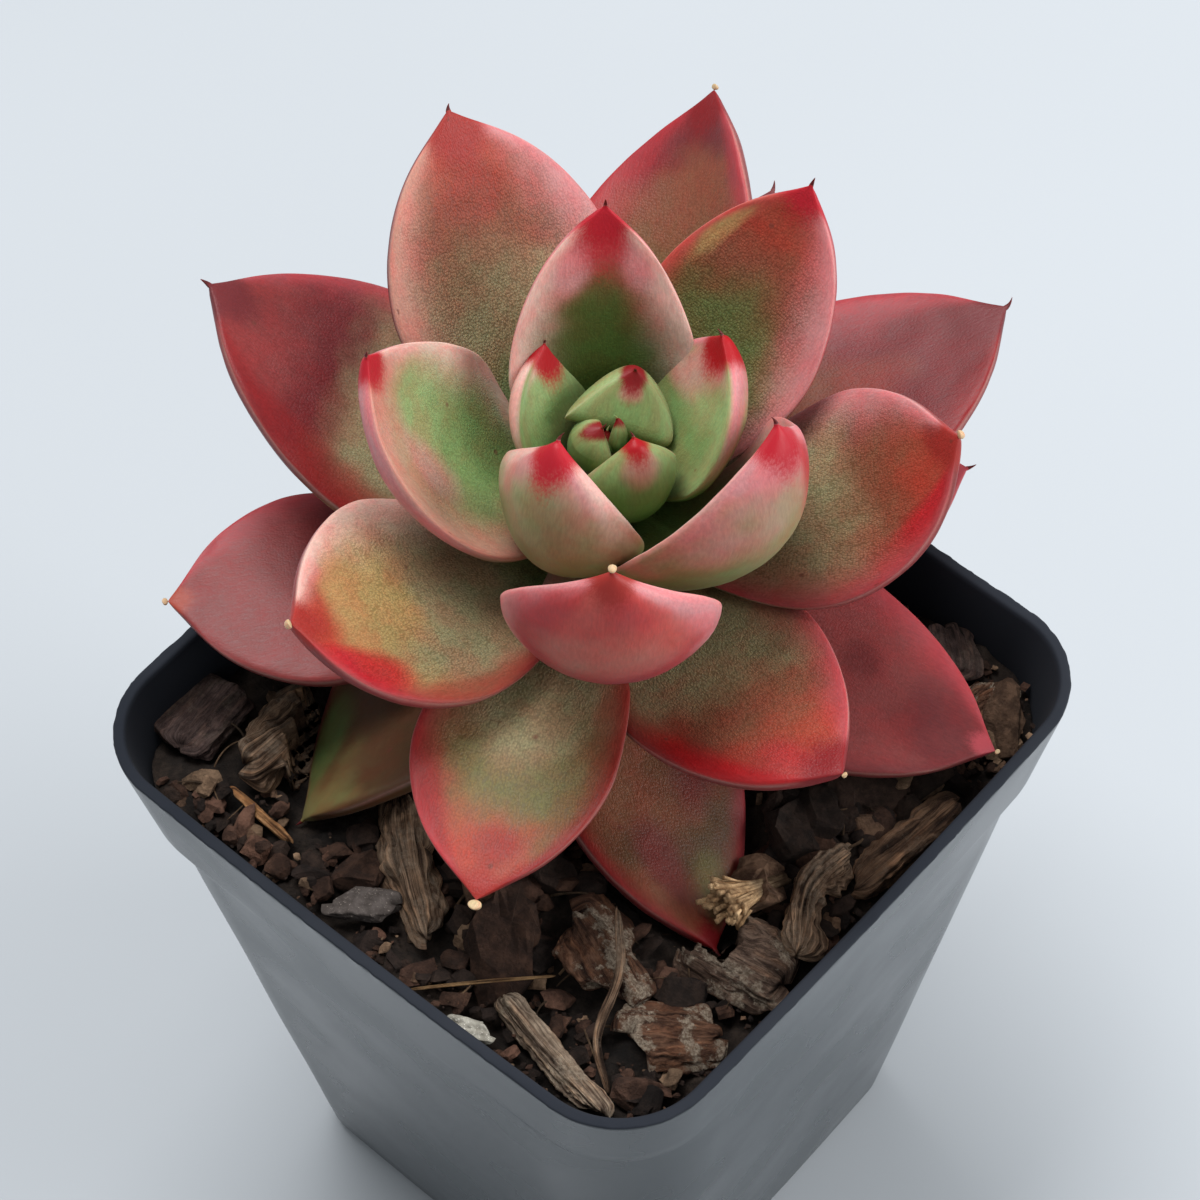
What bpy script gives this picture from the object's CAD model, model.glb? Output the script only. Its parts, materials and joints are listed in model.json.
# A potted echeveria: fleshy leaves in golden-angle order, bark mix and a square nursery pot,
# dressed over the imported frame. Lengths inside the shape functions are millimetres.
import json

import bpy
import numpy as np
from bpy.props import FloatProperty, FloatVectorProperty, IntProperty, PointerProperty
from mathutils import Matrix


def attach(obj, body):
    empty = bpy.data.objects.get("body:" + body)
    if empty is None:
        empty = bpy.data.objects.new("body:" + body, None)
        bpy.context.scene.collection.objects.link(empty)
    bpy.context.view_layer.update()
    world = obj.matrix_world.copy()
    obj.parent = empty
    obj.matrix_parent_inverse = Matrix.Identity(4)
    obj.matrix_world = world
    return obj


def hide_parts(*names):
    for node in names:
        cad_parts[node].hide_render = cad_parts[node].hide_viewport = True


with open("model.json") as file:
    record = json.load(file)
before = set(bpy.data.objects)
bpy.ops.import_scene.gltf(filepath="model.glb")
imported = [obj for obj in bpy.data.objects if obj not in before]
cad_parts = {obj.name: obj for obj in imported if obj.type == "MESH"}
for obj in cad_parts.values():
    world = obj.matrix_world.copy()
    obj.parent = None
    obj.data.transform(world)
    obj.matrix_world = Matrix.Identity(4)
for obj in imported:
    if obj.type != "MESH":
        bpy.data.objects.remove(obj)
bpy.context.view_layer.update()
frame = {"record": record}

bl_info = {
    "name": "Potted Echeveria",
    "version": (1, 0, 0),
    "blender": (4, 5, 0),
    "location": "View3D > Sidebar > Echeveria",
    "description": "Builds a rosette succulent in a square nursery pot filled with bark mix",
    "category": "Object",
}

MM = 0.001

# The pot, as the frame has it
RIM_WIDTH = 70.0
POT_HEIGHT = 76.0
TAPER = 0.157
COLLAR_DEPTH = 12.0
RIM_CORNER = 10.0
BODY_CORNER = 14.0
BASE_CORNER = 6.0
WALL = 1.2
FLOOR = 1.6
BOW = 0.3
DRAIN_RADIUS = 3.0
DRAIN_OFFSET = 13.0
COLLAR_FOOT = POT_HEIGHT - COLLAR_DEPTH
MIX_LEVEL = POT_HEIGHT - 6.5
MIX_SWELL = 0.9
SLOW_WAVE = (0.21, 0.19)
QUICK_WAVE = (0.53, -0.31)
CROSS_WAVE = (0.22, 0.47)
SLOW_SHARE = 0.6

# The rosette, as the frame has it: ages are counted in leaves from the youngest
FRONT_AZIMUTH = 42.3
ROSETTE_BACK = 15.0
ROSETTE_RIGHT = 1.3
LEAN_FRONT = 4.0
LEAN_RIGHT = 2.0
LEAF_COUNT = 28
GOLDEN_ANGLE = 137.508
FIRST_AZIMUTH = 292.6
FULL_LENGTH = 39.0
FULL_HALF_WIDTH = 11.5
FULL_THICKNESS = 4.6
STEM_TOP = 20.0
STEM_SINK = 20.0
LEAF_PITCH = 0.7
YOUNGEST_RISE = 86.0
RISE_STEP = 3.9
YOUNGEST_CURL = 46.0
CURL_STEP = 2.4
HALF_GROWN_AGE = 4.3
LENGTH_AGES = 2.6
WITHERING_AGE = 18
WITHERING_STEP = 0.4
WIDTH_HEAD_START = 1.2
WIDTH_AGES = 4.5
YOUNGEST_THICKNESS = 2.6
THICKNESS_STEP = 0.12
YOUNGEST_CUP = 3.0
CUP_STEP = 0.12
OLDEST_CUP = 0.6
FOOT_RADIUS = 1.5
FOOT_SPREAD = 3.0
SPREAD_AGE = 14

# The outline and the section of a leaf, as the frame has them
USUAL_WAIST = 0.54
BASE_SHARE = 0.45
NECK_SHAPE = 1.4
SIDE_SHAPE = 1.8
POINT_SHAPE = 0.75
SWELL_END = 0.4
THIN_END = 0.35
FATTEST = 1.2
UPPER_SHARE = 0.22
EDGE_FULLNESS = 0.75
CUP_LOSS = 0.6
TIP_CROWDING = 1.25

# What the leaves have in this script alone: how far the blade is pinched in at its point, rings
# along the dry point, the share of its hollow that a young leaf fills and the ages over which
# this fades, and a dry point's thickness at its foot
PINCH = 0.5
PINCH_REACH = 0.35
PINCH_PER_LENGTH = 0.05
POINT_RINGS = 10
YOUNG_FILL = 0.85
FILLED_AGE = 3
HOLLOW_AGE = 8
POINT_THICKNESS = 0.1
POINT_PER_WIDTH = 0.012

# Points round a drain hole, square millimetres along each side of the map of the leaves' cover, and
# the least room kept between pieces
DRAIN_SIDES = 32
COVER_CELLS = 72
GAP = 0.3

# How single leaves depart from the growth rule: turn, rise, curl and roll in degrees, longer,
# wider, cup and sway in millimetres. waist is where along its length a blade is widest.
DEPARTURES = {
    0: dict(turn=4, rise=7, curl=-4, waist=0.5, cup=0.9, roll=-10, sway=1),
    1: dict(turn=3, rise=-5, longer=1, wider=0.5, curl=-7, cup=4, roll=20, sway=-1),
    2: dict(rise=-7, longer=2, wider=-1.5, curl=70, waist=0.58, cup=2),
    3: dict(turn=3, rise=-13, longer=-2.5, wider=-0.5, curl=10, waist=0.45, cup=1.5, roll=-10, sway=-3),
    4: dict(turn=-6, rise=-8, longer=-1, curl=40, waist=0.4, cup=3, roll=16, sway=3),
    5: dict(turn=13, longer=1, wider=-1, curl=90, waist=0.62, cup=3.6, roll=-24, sway=-0.5),
    6: dict(rise=2, wider=-0.5, curl=-11, waist=0.4, cup=4.5, roll=-4, sway=-1.5),
    7: dict(turn=-10, rise=2, longer=1, wider=1, curl=80, waist=0.5, cup=6, roll=14, sway=3),
    8: dict(turn=11, rise=-2, longer=-1.5, wider=0.5, curl=33, waist=0.44, cup=3, roll=-27, sway=-3),
    9: dict(turn=-5, rise=-2, longer=-1, wider=-1, curl=3, waist=0.48, cup=1.5, roll=17, sway=1),
    10: dict(turn=1, rise=4, longer=1, wider=-1, curl=82, waist=0.72, cup=3.5, roll=-3),
    11: dict(turn=-6, rise=2, wider=1, curl=-10, cup=0.8, roll=4, sway=-2.5),
    12: dict(turn=-8, longer=-2, wider=-0.5, curl=36, cup=0.5, roll=32, sway=0.5),
    13: dict(turn=7, rise=-6, longer=-0.5, curl=16, cup=1, roll=-27, sway=-1),
    14: dict(turn=-4, rise=-3, curl=-13, waist=0.47, cup=3, roll=-45),
    15: dict(turn=-7, rise=-9, longer=-1.5, wider=-1, curl=8, waist=0.47, cup=0.3, roll=18, sway=4.5),
    16: dict(turn=-5, longer=0.5, wider=2, curl=6, waist=0.46, cup=0.3, roll=12, sway=-1),
    17: dict(turn=-1, rise=-4, longer=0.5, wider=1, curl=13, waist=0.46, cup=1.5, roll=-8, sway=0.5),
    18: dict(turn=4, rise=-10, wider=-2, curl=-30, waist=0.65, cup=2, roll=3, sway=1.5),
    19: dict(rise=2, longer=-3, curl=5),
    20: dict(turn=-5, rise=-16, longer=-0.5, curl=14, waist=0.45, cup=0.4, roll=-5, sway=2),
    21: dict(turn=-4, rise=-4, longer=-0.5, wider=-1, curl=14, waist=0.62, cup=0.4, roll=-4, sway=-1.5),
    22: dict(turn=5, rise=10, longer=0.5, wider=-1.5, curl=18, waist=0.48, cup=0.4, roll=-13, sway=2),
    23: dict(turn=-4, rise=-9, longer=-1, wider=-2, curl=26, waist=0.5, cup=0.2, roll=-26, sway=5.5),
    24: dict(rise=14, longer=-3, curl=10),
    25: dict(turn=9, rise=15, longer=-4, wider=-2, curl=8),
    26: dict(turn=-11, longer=-2, curl=-16, waist=0.5, cup=0.9, roll=42, sway=1.5),
    27: dict(rise=24, longer=-4, curl=10),
}


def paint(code):
    """Linear colour of a six-digit web colour: each share is undone from its sRGB curve."""
    shares = np.array([int(code[i:i + 2], 16) / 255 for i in (0, 2, 4)])
    return np.where(shares < 0.04045, shares / 12.92, ((shares + 0.055) / 1.055) ** 2.4)


# Plant colours, named for what they look like
LIME = paint("8a9a68")
FRESH = paint("708552")
LEAF_GREEN = paint("526a3c")
DEEP_GREEN = paint("3c4f20")
SAGE = paint("8c8062")
OLIVE = paint("6a613c")
EARTH = paint("523822")
UMBER = paint("7c4a36")
OCHRE = paint("a08255")
RUSSET = paint("983e2e")
BRICK = paint("922a24")
CHERRY = paint("9e2b34")
CARMINE = paint("a81826")
SCARLET = paint("9e0f18")
CRIMSON = paint("7a1519")
MAROON = paint("50181a")
ROSE = paint("a03e46")
CORAL = paint("b5504a")
SALMON = paint("bb8478")
PINK = paint("c37f84")
PALE_PINK = paint("d2aaa3")
DUSKY = paint("7c3434")
WINE = paint("662427")
PLUM = paint("481b1d")
CREAM = paint("c0a684")

# Leaves whose dry point has worn down to a pale bead, with its radius in millimetres
BEADS = {10: 0.38, 12: 0.42, 13: 0.42, 14: 0.35, 15: 0.28, 18: 0.62, 20: 0.3, 21: 0.35}

GREEN_LINE = (LEAF_GREEN, FRESH, LIME, LIME)
SAGE_LINE = (LEAF_GREEN, SAGE, UMBER, RUSSET)
GREEN_BACK = (LEAF_GREEN, FRESH, LIME)
PINK_BACK = (FRESH, PALE_PINK, PINK)
ROSE_BACK = (OLIVE, WINE, DUSKY)
PLUM_BACK = (PLUM, PLUM, WINE)
WINE_BACK = (WINE, WINE, DUSKY)


def looks(line, ccw, cw, tip, back, dust, **marks):
    """The looks of a leaf: line gives the colours of its middle from foot to tip, ccw and cw its
    counter-clockwise and clockwise margins with their width, tip the red fan with its size, back
    the underside from foot to tip, dust how much of the fine pale grain it has. Its own marks are
    patches and back_patches, each as place along, place across, reach along, reach across, colour
    and strength, and back_edge, the colour of the underside's margins."""
    return dict(line=line, ccw=ccw, cw=cw, tip=tip, back=back, dust=dust, **marks)


HIDDEN = looks((OLIVE, OLIVE, DUSKY, DUSKY), (ROSE, 3), (ROSE, 3), (CRIMSON, 4), ROSE_BACK, 0.2)
LOOKS = {
    0: looks(GREEN_LINE, (LIME, 1), (LIME, 1), (CRIMSON, 2), GREEN_BACK, 0.1),
    1: looks((LEAF_GREEN, FRESH, FRESH, FRESH), (LIME, 1.6), (LIME, 1.6), (CRIMSON, 2.4),
             GREEN_BACK, 0.2, patches=[(0.9, 0.0, 0.1, 0.5, PINK, 0.7)]),
    2: looks(GREEN_LINE, (LIME, 1.4), (LIME, 1.4), (SCARLET, 3), GREEN_BACK, 0.2,
             back_patches=[(0.88, 0.0, 0.14, 0.7, PINK, 0.8)]),
    3: looks((LEAF_GREEN, FRESH, LIME, PALE_PINK), (FRESH, 1.5), (PALE_PINK, 2), (SCARLET, 4.2),
             (LEAF_GREEN, LIME, PALE_PINK), 0.2),
    4: looks((LEAF_GREEN, FRESH, LIME, PINK), (PINK, 1.5), (LIME, 2), (SCARLET, 5),
             (LEAF_GREEN, LIME, PINK), 0.2, patches=[(0.72, 0.3, 0.16, 0.5, PINK, 0.7)]),
    5: looks(GREEN_LINE, (PALE_PINK, 2), (PALE_PINK, 2), (CARMINE, 5), PINK_BACK, 0.2,
             back_edge=PALE_PINK, back_patches=[(0.52, 0.0, 0.36, 1.4, FRESH, 0.95)]),
    6: looks((LEAF_GREEN, DEEP_GREEN, UMBER, CORAL), (PALE_PINK, 4), (PALE_PINK, 3.4), (CARMINE, 6.5),
             PINK_BACK, 0.3,
             patches=[(0.8, 0.5, 0.12, 0.35, PINK, 0.8), (0.8, -0.6, 0.12, 0.3, PINK, 0.8),
                      (0.45, 0.0, 0.25, 0.5, DEEP_GREEN, 0.9), (0.88, 0.0, 0.1, 0.8, ROSE, 0.6)]),
    7: looks((LEAF_GREEN, FRESH, LIME, PINK), (PINK, 4), (PALE_PINK, 3), (CARMINE, 5.5),
             (FRESH, SALMON, PINK), 0.3, back_edge=PINK,
             back_patches=[(0.5, 0.0, 0.33, 1.4, FRESH, 0.9), (0.74, 0.55, 0.28, 0.3, CARMINE, 0.8)]),
    8: looks((LEAF_GREEN, FRESH, LIME, SALMON), (SALMON, 6.5), (PALE_PINK, 3.5), (CARMINE, 4.5),
             (OLIVE, SALMON, PINK), 0.5, back_edge=PINK,
             patches=[(0.6, 0.3, 0.14, 0.3, PINK, 0.7), (0.82, 0.4, 0.15, 0.5, SALMON, 0.6)]),
    9: looks((LEAF_GREEN, OLIVE, UMBER, RUSSET), (CORAL, 2.2), (PINK, 4), (CARMINE, 5.5),
             (DUSKY, ROSE, ROSE), 0.9,
             patches=[(0.45, 0.0, 0.25, 0.6, LEAF_GREEN, 0.7), (0.77, 0.8, 0.13, 0.14, OCHRE, 1.0)]),
    10: looks((SAGE, SAGE, SALMON, PINK), (PINK, 3), (PINK, 3), (BRICK, 4.5), (DUSKY, ROSE, CORAL), 0.5,
              back_edge=PINK, patches=[(0.84, -0.2, 0.09, 0.6, RUSSET, 0.7)],
              back_patches=[(0.93, 0.3, 0.08, 0.5, CHERRY, 0.7), (0.86, -0.75, 0.14, 0.25, CHERRY, 0.7),
                            (0.75, 0.0, 0.1, 0.7, SALMON, 0.5)]),
    11: looks(SAGE_LINE, (SALMON, 4.2), (PINK, 4.5), (BRICK, 6.5), (MAROON, WINE, WINE), 1.0,
              patches=[(0.78, 0.0, 0.07, 0.5, BRICK, 0.5)]),
    12: looks(SAGE_LINE, (PINK, 4), (ROSE, 3.5), (BRICK, 5), ROSE_BACK, 1.0,
              patches=[(0.84, -0.72, 0.12, 0.2, CARMINE, 0.8), (0.93, 0.3, 0.05, 0.5, CRIMSON, 0.6)]),
    13: looks((LEAF_GREEN, SAGE, OCHRE, RUSSET), (CHERRY, 2.6), (PALE_PINK, 4), (BRICK, 5),
              ROSE_BACK, 1.0,
              patches=[(0.84, 0.75, 0.12, 0.3, CARMINE, 0.9), (0.55, 0.95, 0.2, 0.16, UMBER, 0.7)]),
    14: looks((OLIVE, OLIVE, UMBER, WINE), (CHERRY, 4.5), (ROSE, 3), (CRIMSON, 6), ROSE_BACK, 0.5),
    15: looks((OLIVE, SAGE, UMBER, RUSSET), (ROSE, 3.5), (CRIMSON, 3), (CRIMSON, 6), ROSE_BACK, 0.9,
              patches=[(0.76, -0.85, 0.24, 0.2, SCARLET, 0.9), (0.86, -0.4, 0.1, 0.4, CHERRY, 0.7)]),
    16: looks((OLIVE, SAGE, WINE, DUSKY), (CRIMSON, 3.5), (ROSE, 3.5), (WINE, 6), ROSE_BACK, 0.6,
              patches=[(0.62, 0.85, 0.25, 0.2, CRIMSON, 0.8)]),
    17: looks((UMBER, UMBER, WINE, WINE), (ROSE, 3.5), (CRIMSON, 3), (WINE, 5), ROSE_BACK, 0.3,
              patches=[(0.6, 0.0, 0.12, 0.3, CRIMSON, 0.5)]),
    18: looks((OLIVE, SAGE, OLIVE, RUSSET), (CRIMSON, 3), (CHERRY, 3), (BRICK, 4), ROSE_BACK, 1.0,
              patches=[(0.88, 0.1, 0.06, 0.4, CRIMSON, 0.6), (0.78, -0.8, 0.14, 0.2, CRIMSON, 0.7)]),
    19: HIDDEN,
    20: looks((DUSKY, DUSKY, DUSKY, WINE), (ROSE, 4), (WINE, 2.5), (ROSE, 3), WINE_BACK, 0.3,
              patches=[(0.6, 0.2, 0.06, 0.2, MAROON, 0.5)]),
    21: looks((WINE, WINE, DUSKY, DUSKY), (DUSKY, 3), (ROSE, 2.6), (RUSSET, 3), PLUM_BACK, 0.2),
    22: looks((UMBER, DUSKY, DUSKY, DUSKY), (CRIMSON, 2.6), (ROSE, 3), (WINE, 2.5), WINE_BACK, 0.3,
              patches=[(0.6, 0.8, 0.25, 0.2, CRIMSON, 0.7)]),
    23: looks((OLIVE, UMBER, EARTH, UMBER), (ROSE, 1.8), (CRIMSON, 2), (CRIMSON, 3.5), PLUM_BACK, 0.5,
              patches=[(0.5, 0.4, 0.14, 0.3, WINE, 0.8), (0.75, -0.3, 0.12, 0.3, WINE, 0.7),
                       (0.85, 0.4, 0.1, 0.3, OLIVE, 0.8)]),
    24: HIDDEN,
    25: dict(HIDDEN, tip=(ROSE, 4)),
    26: looks((EARTH, EARTH, EARTH, OLIVE), (EARTH, 1.5), (WINE, 1.4), (OLIVE, 3),
              (PLUM, PLUM, EARTH), 0.1, patches=[(0.8, -0.55, 0.14, 0.3, LEAF_GREEN, 0.8)]),
    27: HIDDEN,
}
BUD_LOOKS = looks(GREEN_LINE, (FRESH, 1), (FRESH, 1), (CRIMSON, 1.4), GREEN_BACK, 0.0)


class PotSettings(bpy.types.PropertyGroup):
    plastic: FloatVectorProperty(name="Plastic", description="Colour of the moulded plastic", size=3,
                                 default=(0.03, 0.037, 0.043), min=0, max=1, subtype="COLOR")
    lip_roughness: FloatProperty(name="Lip burr", description="How far trimmed plastic stands out",
                                 default=0.00008, min=0, max=0.001, unit="LENGTH")


class RosetteSettings(bpy.types.PropertyGroup):
    rows: IntProperty(name="Rows", description="Rings along each leaf", default=84, min=20, max=160)
    columns: IntProperty(name="Columns", description="Points around each leaf", default=64, min=16,
                         max=128)
    spine: FloatProperty(name="Spine", description="Length of the dry point on a full-grown leaf",
                         default=0.0008, min=0, max=0.004, unit="LENGTH")
    flesh: FloatProperty(name="Flesh", description="Share of light that passes through the flesh",
                         default=0.12, min=0, max=1, subtype="FACTOR")


class MixSettings(bpy.types.PropertyGroup):
    chips: IntProperty(name="Chips", description="Tries at laying a flat chip", default=420, min=1,
                       max=1000)
    crumbs: IntProperty(name="Crumbs", description="Tries at laying a crumb", default=2600, min=1,
                        max=4000)
    grit: IntProperty(name="Grit", description="Tries at laying a fine grain", default=3500, min=1,
                      max=6000)
    fibres: IntProperty(name="Fibres", description="Fine fibres between the crumbs", default=150, min=0,
                        max=600)
    damp: FloatVectorProperty(name="Damp bark", description="Colour of the dark filling", size=3,
                              default=(0.028, 0.019, 0.014), min=0, max=1, subtype="COLOR")


class StageSettings(bpy.types.PropertyGroup):
    floor: FloatVectorProperty(name="Floor", description="Colour of the plain floor", size=3,
                               default=(0.45, 0.477, 0.505), min=0, max=1, subtype="COLOR")
    sky: FloatProperty(name="Sky", description="Strength of the soft light from all around",
                       default=0.5, min=0, max=5)
    key: FloatProperty(name="Lamps", description="Strength of the two large soft lamps", default=1.0,
                       min=0, max=5)


def draw(n):
    """A repeatable draw between 0 and 1 for whole numbers n: the fraction of a large sine."""
    s = np.sin(np.asarray(n, float) * 12.9898 + 4.1414) * 43758.5453
    return s - np.floor(s)


def smooth(x, low, high):
    """Rises from 0 at low to 1 at high along 3t squared minus 2t cubed."""
    t = np.clip((x - low) / (high - low), 0, 1)
    return t * t * (3 - 2 * t)


# Factors that spread the bits of whole numbers, as hashes use
HASH_STEPS = np.array([374761393, 668265263, 1274126177])
HASH_SEED = 69069
HASH_SPREAD = 1103515245
HASH_MASK = 0x7fffffff


def rumple(points, size, seed):
    """Soft noise from -1 to 1: hashed values on a lattice of the given size, blended smoothly."""
    q = np.asarray(points, float) / size + 17.0 * seed
    cell = np.floor(q).astype(np.int64)
    f = q - cell
    f = f * f * (3 - 2 * f)
    total = 0.0
    for corner in range(8):
        step = np.array([(corner >> b) & 1 for b in range(3)])
        n = ((cell + step) * HASH_STEPS).sum(axis=-1) + seed * HASH_SEED & HASH_MASK
        n = (n ^ (n >> 13)) * HASH_SPREAD & HASH_MASK
        value = ((n ^ (n >> 16)) & 0xffff) / 32767.5 - 1
        total = total + value * np.prod(np.where(step, f, 1 - f), axis=-1)
    return total


def tangle(points, size, seed, octaves=3):
    """Sum of soft noises, each half the size and half the strength of the one before."""
    return sum(rumple(points, size / 2 ** o, seed + o) / 2 ** o for o in range(octaves))


def mix_top(x, y):
    """Height of the filling: two slow waves crossed, on the level it is filled to."""
    slow = np.sin(x * SLOW_WAVE[0] + 1.3) * np.cos(y * SLOW_WAVE[1] - 0.4)
    quick = np.sin(x * QUICK_WAVE[0] + y * QUICK_WAVE[1])
    quick = quick * np.cos(y * CROSS_WAVE[1] + x * CROSS_WAVE[0])
    return MIX_LEVEL + MIX_SWELL * (SLOW_SHARE * slow + (1 - SLOW_SHARE) * quick)


def grid_faces(rows, columns):
    """Quads of a grid that closes round its columns, with a fan of triangles at both ends."""
    i = np.arange(rows - 1)[:, None] * columns
    j = np.arange(columns)[None, :]
    after = (j + 1) % columns
    quads = np.stack([i + j, i + after, i + after + columns, i + j + columns], axis=-1).reshape(-1, 4)
    first = rows * columns
    last = (rows - 1) * columns
    ring = np.arange(columns)
    next_one = (ring + 1) % columns
    start = np.stack([np.full(columns, first), next_one, ring], axis=-1)
    end = np.stack([np.full(columns, first + 1), last + ring, last + next_one], axis=-1)
    return quads, np.concatenate([start, end])


def many_tubes(rings):
    """Points and faces of closed tubes, each end closed at its middle: rings are tubes by rows by
    columns by 3."""
    count, rows, columns = rings.shape[:3]
    quads, ends = grid_faces(rows, columns)
    middles = [rings[:, i].mean(axis=1)[:, None] for i in (0, -1)]
    points = np.concatenate([rings.reshape(count, -1, 3), *middles], axis=1).reshape(-1, 3)
    shift = (np.arange(count) * (rows * columns + 2))[:, None, None]
    return points, (quads + shift).reshape(-1, 4), (ends + shift).reshape(-1, 3)


def closed_tube(rings):
    """Points and faces of a single closed tube."""
    return many_tubes(rings[None])


def on_points(values):
    """Marks of many tubes, one row per point: each end's middle takes that of a point beside it."""
    columns, kind = values.shape[2], values.shape[3:]
    body = values.reshape((len(values), -1) + kind)
    ended = np.concatenate([body, body[:, :1], body[:, -columns:][:, :1]], axis=1)
    return ended.reshape((-1,) + kind)


def frame_slot(node):
    """The record's material slot of a node."""
    subparts = frame["record"]["subparts"]
    return next(row["material_slot"] for row in subparts if row["node"] == node)


def new_piece(name, points, quads, triangles, material, nodes=(), marks=None, rounded=True):
    """Puts arrays of points in millimetres and faces into a mesh object that rides on the root."""
    mesh = bpy.data.meshes.new(name)
    faces = np.asarray(quads).reshape(-1, 4).tolist() + np.asarray(triangles).reshape(-1, 3).tolist()
    mesh.from_pydata((np.asarray(points) * MM).tolist(), [], faces)
    mesh.polygons.foreach_set("use_smooth", np.full(len(faces), rounded))
    for label, values in (marks or {}).items():
        values = np.asarray(values, np.float32)
        if values.ndim == 1:
            mesh.attributes.new(label, "FLOAT", "POINT").data.foreach_set("value", values)
        elif label.startswith("at_"):
            kept = mesh.attributes.new(label, "FLOAT_VECTOR", "POINT")
            kept.data.foreach_set("vector", values.ravel())
        else:
            rgba = np.concatenate([values, np.ones((len(values), 1), np.float32)], axis=1)
            kept = mesh.attributes.new(label, "FLOAT_COLOR", "POINT")
            kept.data.foreach_set("color", rgba.ravel())
    mesh.materials.append(material)
    mesh.update()
    piece = bpy.data.objects.new(name, mesh)
    bpy.context.scene.collection.objects.link(piece)
    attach(piece, "root")
    if nodes:
        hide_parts(*nodes)
    return piece


# Materials

class Finish:
    """A node material under construction, with short calls for the nodes this object needs."""

    def __init__(self, name):
        self.material = bpy.data.materials.new(name)
        self.material.use_nodes = True
        self.tree = self.material.node_tree
        self.skin = self.tree.nodes["Principled BSDF"]

    def node(self, kind, sockets=None, **settings):
        """A node of a kind, its sockets fed and its settings set by name."""
        made = self.tree.nodes.new(kind)
        for key, value in settings.items():
            setattr(made, key, value)
        for key, value in (sockets or {}).items():
            self.feed(made.inputs[key], value)
        return made

    def feed(self, socket, value):
        """Links an output to a socket, or sets the socket to a number or a colour."""
        if isinstance(value, bpy.types.NodeSocket):
            self.tree.links.new(value, socket)
        elif hasattr(value, "__len__") and len(value) == 3 and socket.type == "RGBA":
            socket.default_value = (*value, 1)
        else:
            socket.default_value = value

    def set(self, **sockets):
        """Feeds sockets of the skin's shader, spaces in their names written as underscores."""
        for key, value in sockets.items():
            self.feed(self.skin.inputs[key.replace("_", " ")], value)

    def place(self, scale=(1, 1, 1), label=None):
        """Object coordinates in millimetres, or a vector attribute, stretched by scale."""
        if label:
            source = self.node("ShaderNodeAttribute", attribute_name=label).outputs["Vector"]
            size = scale
        else:
            source = self.node("ShaderNodeTexCoord").outputs["Object"]
            size = [1000 * s for s in scale]
        return self.node("ShaderNodeMapping", {"Vector": source, "Scale": size}).outputs["Vector"]

    def mark(self, label):
        """A number or a colour kept on the mesh."""
        return self.node("ShaderNodeAttribute", attribute_name=label)

    def noise(self, vector, scale=1.0, detail=3.0, rough=0.55, warp=0.0):
        sockets = {"Vector": vector, "Scale": scale, "Detail": detail, "Roughness": rough,
                   "Distortion": warp}
        return self.node("ShaderNodeTexNoise", sockets).outputs["Fac"]

    def cells(self, vector, scale=1.0, random=1.0):
        sockets = {"Vector": vector, "Scale": scale, "Randomness": random}
        return self.node("ShaderNodeTexVoronoi", sockets).outputs["Distance"]

    def math(self, action, a, b):
        made = self.node("ShaderNodeMath", operation=action)
        self.feed(made.inputs[0], a)
        self.feed(made.inputs[1], b)
        return made.outputs[0]

    def span(self, value, low, high, out_low=0.0, out_high=1.0):
        """Goes smoothly from out_low to out_high while value goes from low to high."""
        sockets = {"Value": value, "From Min": low, "From Max": high, "To Min": out_low,
                   "To Max": out_high}
        made = self.node("ShaderNodeMapRange", sockets, interpolation_type="SMOOTHSTEP")
        return made.outputs["Result"]

    def mix(self, share, a, b, blend="MIX"):
        made = self.node("ShaderNodeMix", data_type="RGBA", blend_type=blend)
        for place, value in ((0, share), (6, a), (7, b)):
            self.feed(made.inputs[place], value)
        return made.outputs[2]

    def times(self, colour, factors):
        """A colour with each of its channels multiplied by a factor."""
        return self.mix(1.0, colour, factors, "MULTIPLY")

    def bump(self, height, distance, strength=1.0, below=None):
        sockets = {"Height": height, "Distance": distance * MM, "Strength": strength}
        if below:
            sockets["Normal"] = below
        return self.node("ShaderNodeBump", sockets).outputs["Normal"]


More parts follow.
